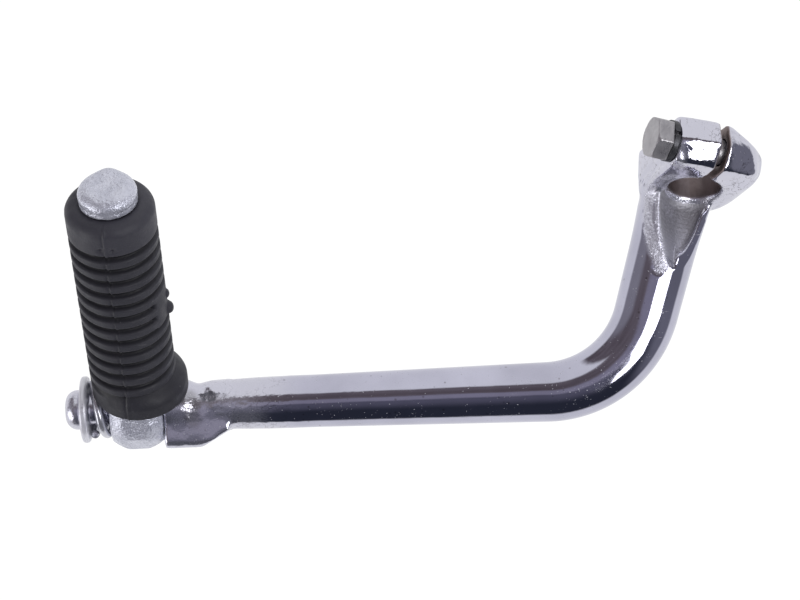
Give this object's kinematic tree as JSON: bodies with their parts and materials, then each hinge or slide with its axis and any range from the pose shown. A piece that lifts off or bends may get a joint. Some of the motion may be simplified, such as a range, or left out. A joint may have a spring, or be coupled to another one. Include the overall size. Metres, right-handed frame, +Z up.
{
  "type": "kick start lever",
  "caption": "Kick start lever: bent chromed bar with a split clamp boss and pinch bolt at one end and a sprung, folding foot pedal in a ribbed rubber sleeve at the other.",
  "frame": {"origin": "middle of the shaft bore, on its axis", "axes": "+Y along the bore away from the engine, +X from the pedal towards the clamp boss, +Z up; the foot pushes towards -Z"},
  "size_m": [0.2117, 0.0988, 0.0993],
  "materials": {
    "chrome": "bright chrome plate over a forging",
    "zinc": "grainy zinc plate",
    "rubber": "matte moulded",
    "spring_steel": "zinc-plated wire",
    "washer_steel": "zinc plate",
    "bolt_steel": "dull zinc plate",
    "dark_steel": "blackened",
    "ball_steel": "polished"
  },
  "bodies": {
    "arm": {"lever_arm": "chrome", "pivot_spring": "spring_steel", "pivot_washer": "washer_steel", "pinch_bolt": "bolt_steel", "lock_washer": "dark_steel", "detent_ball": "ball_steel"},
    "pedal": {"pedal_post": "zinc", "pedal_rubber": "rubber"}
  },
  "joints": [
    {"name": "pedal_fold", "type": "hinge", "parent": "arm", "child": "pedal", "pos_m": [-0.16861, -0.07822, -0.03149], "axis": [-0.9945, -0.1045, 0], "range_deg": [-24, 66]}
  ]
}
